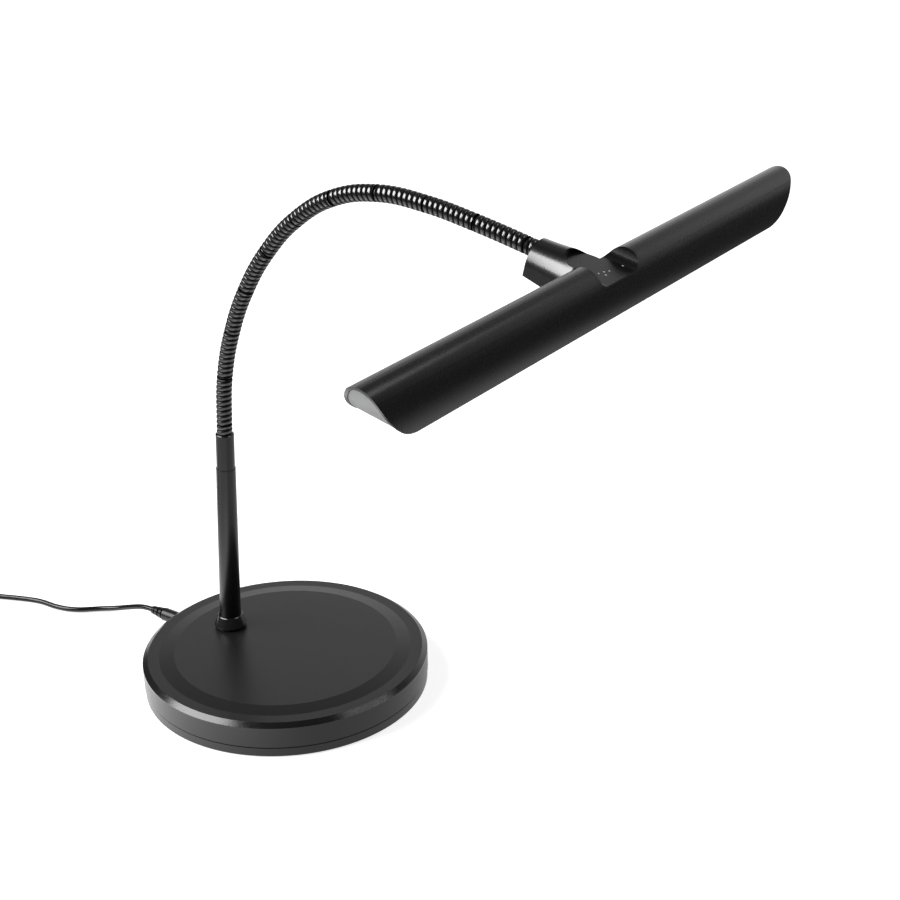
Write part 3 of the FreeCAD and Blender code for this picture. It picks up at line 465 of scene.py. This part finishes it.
class Geometry:
    """A Geometry Nodes tree with named inputs."""

    def __init__(self, name):
        self.tree = bpy.data.node_groups.new(name, "GeometryNodeTree")
        self.tree.interface.new_socket("Geometry", in_out="OUTPUT", socket_type="NodeSocketGeometry")
        self.ids = {}

    def ask(self, **kinds):
        for name, kind in kinds.items():
            socket = self.tree.interface.new_socket(name, in_out="INPUT", socket_type=f"NodeSocket{kind}")
            self.ids[name] = socket.identifier
        given = self.tree.nodes.new("NodeGroupInput").outputs
        return [given[name] for name in kinds]

    def node(self, kind, settings=(), inputs=()):
        made = self.tree.nodes.new(kind)
        for name, value in dict(settings).items():
            setattr(made, name, value)
        for name, value in dict(inputs).items():
            socket = made.inputs[name]
            if isinstance(value, bpy.types.NodeSocket):
                self.tree.links.new(value, socket)
            else:
                socket.default_value = value
        return made

    def maths(self, operation, *values):
        return self.node("ShaderNodeMath", {"operation": operation}, enumerate(values)).outputs[0]

    def vector(self, operation, *values):
        return self.node("ShaderNodeVectorMath", {"operation": operation}, enumerate(values)).outputs[0]

    def capture(self, geometry, **fields):
        """Keeps fields on a geometry, each given as its kind and its value, and gives back the geometry and them."""
        keep = self.node("GeometryNodeCaptureAttribute", (), {"Geometry": geometry})
        for name, (kind, _) in fields.items():
            keep.capture_items.new(kind, name)
        for place, (_, value) in enumerate(fields.values(), 1):
            self.tree.links.new(value, keep.inputs[place])
        return [keep.outputs[place] for place in range(len(fields) + 1)]

    def finish(self, mesh, material):
        smooth = self.node("GeometryNodeSetShadeSmooth", (), {0: mesh})
        real = self.node("GeometryNodeRealizeInstances", (), {0: smooth.outputs[0]})
        painted = self.node("GeometryNodeSetMaterial", (), {"Geometry": real.outputs[0], "Material": material})
        out = self.tree.nodes.new("NodeGroupOutput")
        self.tree.links.new(painted.outputs[0], out.inputs[0])

    def mesh(self, name, **values):
        """Runs the tree on an empty mesh and keeps the result as a plain mesh."""
        carrier = link_object(bpy.data.objects.new("carrier", bpy.data.meshes.new("carrier")))
        modifier = carrier.modifiers.new("tree", "NODES")
        modifier.node_group = self.tree
        for key, value in values.items():
            modifier[self.ids[key]] = value
        seen = bpy.context.evaluated_depsgraph_get()
        made = bpy.data.meshes.new_from_object(carrier.evaluated_get(seen))
        made.name = name
        bpy.data.objects.remove(carrier)
        return link_object(bpy.data.objects.new(name, made))


def wound_tube():
    """A tube along a stretch of a curve, whose wall carries one long groove wound round it like a screw's."""
    tree = Geometry("wound_tube")
    line, start, end, radius, pitch, depth, rings, sides = tree.ask(
        Line="Object", Start="Float", End="Float", Radius="Float", Pitch="Float", Depth="Float",
        Rings="Float", Sides="Int",
    )
    curve = tree.node("GeometryNodeObjectInfo", {"transform_space": "RELATIVE"}, {"Object": line}).outputs["Geometry"]
    trim = tree.node("GeometryNodeTrimCurve", {"mode": "LENGTH"}, {"Curve": curve, 4: start, 5: end})
    step = tree.maths("DIVIDE", pitch, rings)
    fine = tree.node("GeometryNodeResampleCurve", {"mode": "LENGTH"}, {"Curve": trim.outputs[0], "Length": step})
    marked_line, along, centre = tree.capture(
        fine.outputs[0],
        along=("FLOAT", tree.node("GeometryNodeSplineParameter").outputs["Length"]),
        centre=("VECTOR", tree.node("GeometryNodeInputPosition").outputs[0]),
    )
    circle = tree.node("GeometryNodeCurvePrimitiveCircle", (), {"Resolution": sides, "Radius": radius})
    marked_circle, turn = tree.capture(
        circle.outputs[0], turn=("FLOAT", tree.node("GeometryNodeSplineParameter").outputs["Factor"])
    )
    tube = tree.node(
        "GeometryNodeCurveToMesh", (), {"Curve": marked_line, "Profile Curve": marked_circle, "Fill Caps": False}
    )
    phase = tree.maths("DIVIDE", tree.maths("ADD", along, start), pitch)
    crest = tree.maths("FRACT", tree.maths("SUBTRACT", phase, turn))
    from_crest = tree.maths("ABSOLUTE", tree.maths("SUBTRACT", tree.maths("MULTIPLY", crest, 2.0), 1.0))
    gap = tree.maths("POWER", from_crest, GROOVE_SHARPNESS)
    dip = tree.maths("MULTIPLY", tree.maths("MULTIPLY", gap, depth), -1.0)
    surface = tree.node("GeometryNodeInputPosition").outputs[0]
    outward = tree.vector("NORMALIZE", tree.vector("SUBTRACT", surface, centre))
    inward = tree.node("ShaderNodeVectorMath", {"operation": "SCALE"}, {"Vector": outward, "Scale": dip})
    wound = tree.node("GeometryNodeSetPosition", (), {"Geometry": tube.outputs[0], "Offset": inward.outputs[0]})
    # the groove's depth, which the neck's material reads for its painted shade in the gaps
    kept = tree.node(
        "GeometryNodeStoreNamedAttribute", {"data_type": "FLOAT", "domain": "POINT"},
        {"Geometry": wound.outputs[0], "Name": GAP, "Value": gap},
    )
    tree.finish(kept.outputs[0], NECK)
    return tree


def hinge_ball(name, place):
    """The ball that shows where two stretches of the neck part, dark all over with the groove's painted shade."""
    mesh = bpy.data.meshes.new(name)
    shape = bmesh.new()
    bmesh.ops.create_uvsphere(shape, u_segments=BALL_SIDES, v_segments=BALL_RINGS, radius=BALL_RADIUS)
    bmesh.ops.translate(shape, verts=shape.verts, vec=place)
    for face in shape.faces:
        face.smooth = True
    shape.to_mesh(mesh)
    shape.free()
    # painted shade: the whole ball takes the groove's dark, dull finish
    mesh.attributes.new(GAP, "FLOAT", "POINT").data.foreach_set("value", [1.0] * len(mesh.vertices))
    mesh.materials.append(NECK)
    return link_object(bpy.data.objects.new(name, mesh))


def sleeve_foot(sleeve):
    """The middle of the sleeve's lower end."""
    corners = [vertex.co for vertex in sleeve.data.vertices]
    lowest = min(corner.z for corner in corners)
    ring = [corner for corner in corners if corner.z < lowest + FOOT_BAND]
    return sum(ring, Vector()) / len(ring)


def make_neck():
    """A stretch of wound tube on each link, with room at each hinge for its whole travel, and a ball in that gap."""
    joints = frame["joints"]
    hinges = [Vector(joint["pos_m"]) for joint in joints]
    bodies = [joints[0]["parent"]] + [joint["child"] for joint in joints]
    post_axis = (hinges[0] - sleeve_foot(frame["nodes"]["post_sleeve"])).normalized()
    first = hinges[0] - post_axis * (ROOT_LENGTH + TUCK)
    last = hinges[-1] - head_axis(1) * (TAIL_LENGTH + TUCK)
    line = neck_line([first] + hinges + [last])
    total = centreline_length(line)
    spacing = (total - ROOT_LENGTH - TAIL_LENGTH - 2 * TUCK) / (len(hinges) - 1)
    limits = [math.radians(max(map(abs, joint["range_deg"]))) for joint in joints]
    rooms = [NECK_RADIUS * math.tan(limit / 2) + PLAY for limit in limits]
    marks = [ROOT_LENGTH + TUCK + spacing * k for k in range(len(hinges))]
    starts = [0.0] + [mark + room for mark, room in zip(marks, rooms)]
    ends = [mark - room for mark, room in zip(marks, rooms)] + [total]
    nodes = ["neck_root"] + [f"neck_link_{k:02d}" for k in range(1, len(hinges))] + ["neck_tail"]
    tree = wound_tube()
    for body, node, start, end in zip(bodies, nodes, starts, ends):
        stretch = tree.mesh(
            f"wound_{node}", Line=line, Start=start, End=end, Radius=NECK_RADIUS,
            Pitch=NECK_PITCH, Depth=GROOVE_DEPTH, Rings=float(RINGS_PER_TURN), Sides=SIDES,
        )
        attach(stretch, body)
        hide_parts(node)
    for k, place in enumerate(hinges):
        ball = hinge_ball(f"hinge_ball_{k + 1:02d}", place)
        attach(ball, bodies[k])
    bpy.data.objects.remove(line)


make_neck()

# ---------------------------------------------------------------- light and stage
TO_BACKDROP = Vector((0.985, 0.174, 0.0))  # level, from the lamp to the middle of the wide backdrop
TO_FAR_FLOOR = Vector((0.707, 0.707, 0.0))
TO_LEFT_BOX = Vector((-0.83, 0.56, 0.0))
ROOM = 0.06  # the dark room's own light
BACKDROP = 1.08  # what the backdrop adds at the horizon
PAPER = (0.6, 0.6, 0.6, 1)
FLOOR_HALF = 4.0
FLOOR_DROP = 0.5 * MM
AIM = (0, -0.05, 0.15)  # what both lights point at
# Each of these takes a value from its first number to its second onto its third to its fourth.
FLOOR_GLOW = (0.15, 0.6, 0.78, 1.0)  # by the distance from the lamp
# The next four set what reflections of the floor show, as painted light and shade: brighter near the lamp, towards
# the left light and towards the far floor, dark further out.
MIRRORED_AROUND = (0.35, 0.85, 1.0, 0.08)
MIRRORED_BEHIND = (0.75, 0.95, 0.0, 1.2)  # by how nearly it points towards the far floor
MIRRORED_BESIDE = (0.0, 0.13, 0.85, 2.5)  # by how far it lies towards the left light
MIRRORED_CLOSE = (0.11, 0.22, 2.5, 1.1)
BACKDROP_WIDTH = (0.57, 0.88, 0.0, 1.0)
BACKDROP_HEIGHT = (0.24, 0.7, 1.0, 0.1)


def ray_is(nodes, *kinds):
    """1 for rays of these kinds, else 0."""
    path = nodes.add("ShaderNodeLightPath")
    total = 0.0
    for kind in kinds:
        total = nodes.maths("MAXIMUM", path.outputs[f"Is {kind} Ray"], total)
    return total


def join_shaders(nodes, kind, *parts):
    joined = nodes.add(kind)
    for socket, part in zip(joined.inputs, parts):
        nodes.fill(socket, part)
    return joined.outputs[0]


def make_floor():
    """White paper that takes the lamp's shadow, and glows further out, where the lights no longer reach."""
    material, nodes = new_material("floor_white")
    where = nodes.where()
    distance = nodes.vectors("LENGTH", where)
    paper = nodes.add("ShaderNodeBsdfDiffuse", Color=PAPER)
    glow = nodes.add("ShaderNodeEmission", Color=WHITE, Strength=nodes.graded(distance, *FLOOR_GLOW))
    lit = join_shaders(nodes, "ShaderNodeAddShader", paper.outputs[0], glow.outputs[0])
    # painted light: in reflections the floor shows a bright pool near the lamp on the left light's side, and dark
    # further out except towards the far floor
    around = nodes.graded(distance, *MIRRORED_AROUND)
    facing = nodes.maths("DIVIDE", nodes.vectors("DOT_PRODUCT", where, TO_FAR_FLOOR), distance)
    behind = nodes.graded(facing, *MIRRORED_BEHIND)
    beside = nodes.graded(nodes.vectors("DOT_PRODUCT", where, TO_LEFT_BOX), *MIRRORED_BESIDE)
    close_by = nodes.graded(distance, *MIRRORED_CLOSE)
    painted_left_light_pool = nodes.maths("MINIMUM", beside, close_by)
    painted_reflected_floor = nodes.maths("MULTIPLY", nodes.maths("MAXIMUM", around, behind), painted_left_light_pool)
    plain = nodes.add("ShaderNodeEmission", Color=WHITE, Strength=painted_reflected_floor)
    mirrored = ray_is(nodes, "Glossy", "Transmission")
    surface = join_shaders(nodes, "ShaderNodeMixShader", mirrored, lit, plain.outputs[0])
    nodes.add("ShaderNodeOutputMaterial", Surface=surface)
    corners = [(x * FLOOR_HALF, y * FLOOR_HALF, 0) for x, y in ((-1, -1), (1, -1), (1, 1), (-1, 1))]
    mesh = bpy.data.meshes.new("floor")
    mesh.from_pydata(corners, [], [(0, 1, 2, 3)])
    floor = link_object(bpy.data.objects.new("floor", mesh))
    floor.location.z = -FLOOR_DROP
    mesh.materials.append(material)


def make_world():
    """A white backdrop behind the lamp that fades upwards, and to a dark room behind the camera."""
    world = bpy.data.worlds.new("studio")
    bpy.context.scene.world = world
    world.use_nodes = True
    world.node_tree.nodes.clear()
    nodes = Nodes(world.node_tree)
    towards = nodes.add("ShaderNodeTexCoord").outputs["Generated"]
    height = nodes.add("ShaderNodeSeparateXYZ", Vector=towards).outputs["Z"]
    level = nodes.maths("SQRT", nodes.maths("SUBTRACT", 1.0, nodes.maths("MULTIPLY", height, height)))
    facing = nodes.maths("DIVIDE", nodes.vectors("DOT_PRODUCT", towards, TO_BACKDROP), level)
    behind = nodes.graded(facing, *BACKDROP_WIDTH)
    low_down = nodes.graded(height, *BACKDROP_HEIGHT)
    backdrop = nodes.maths("MULTIPLY", nodes.maths("MULTIPLY", behind, low_down), BACKDROP)
    room = nodes.add("ShaderNodeBackground", Color=WHITE, Strength=nodes.maths("ADD", backdrop, ROOM))
    plain = nodes.add("ShaderNodeBackground", Color=WHITE, Strength=1.0)
    seen = ray_is(nodes, "Camera", "Transmission")
    surface = join_shaders(nodes, "ShaderNodeMixShader", seen, room.outputs[0], plain.outputs[0])
    nodes.add("ShaderNodeOutputWorld", Surface=surface)


def softbox(name, place, size, radiance):
    data = bpy.data.lights.new(name, "AREA")
    data.shape = "RECTANGLE"
    data.size, data.size_y = size
    data.energy = radiance * math.pi * size[0] * size[1]
    lamp = link_object(bpy.data.objects.new(name, data))
    lamp.location = place
    lamp.rotation_mode = "QUATERNION"
    lamp.rotation_quaternion = (Vector(AIM) - Vector(place)).to_track_quat("-Z", "Y")


make_floor()
make_world()
softbox("left_box", place=(-0.72, 0.72, 0.96), size=(1.0, 1.0), radiance=11)
softbox("right_box", place=(0.46, -0.64, 1.15), size=(0.6, 0.5), radiance=3.5)

scene = bpy.context.scene
scene.view_settings.view_transform = "Standard"

bpy.context.view_layer.update()
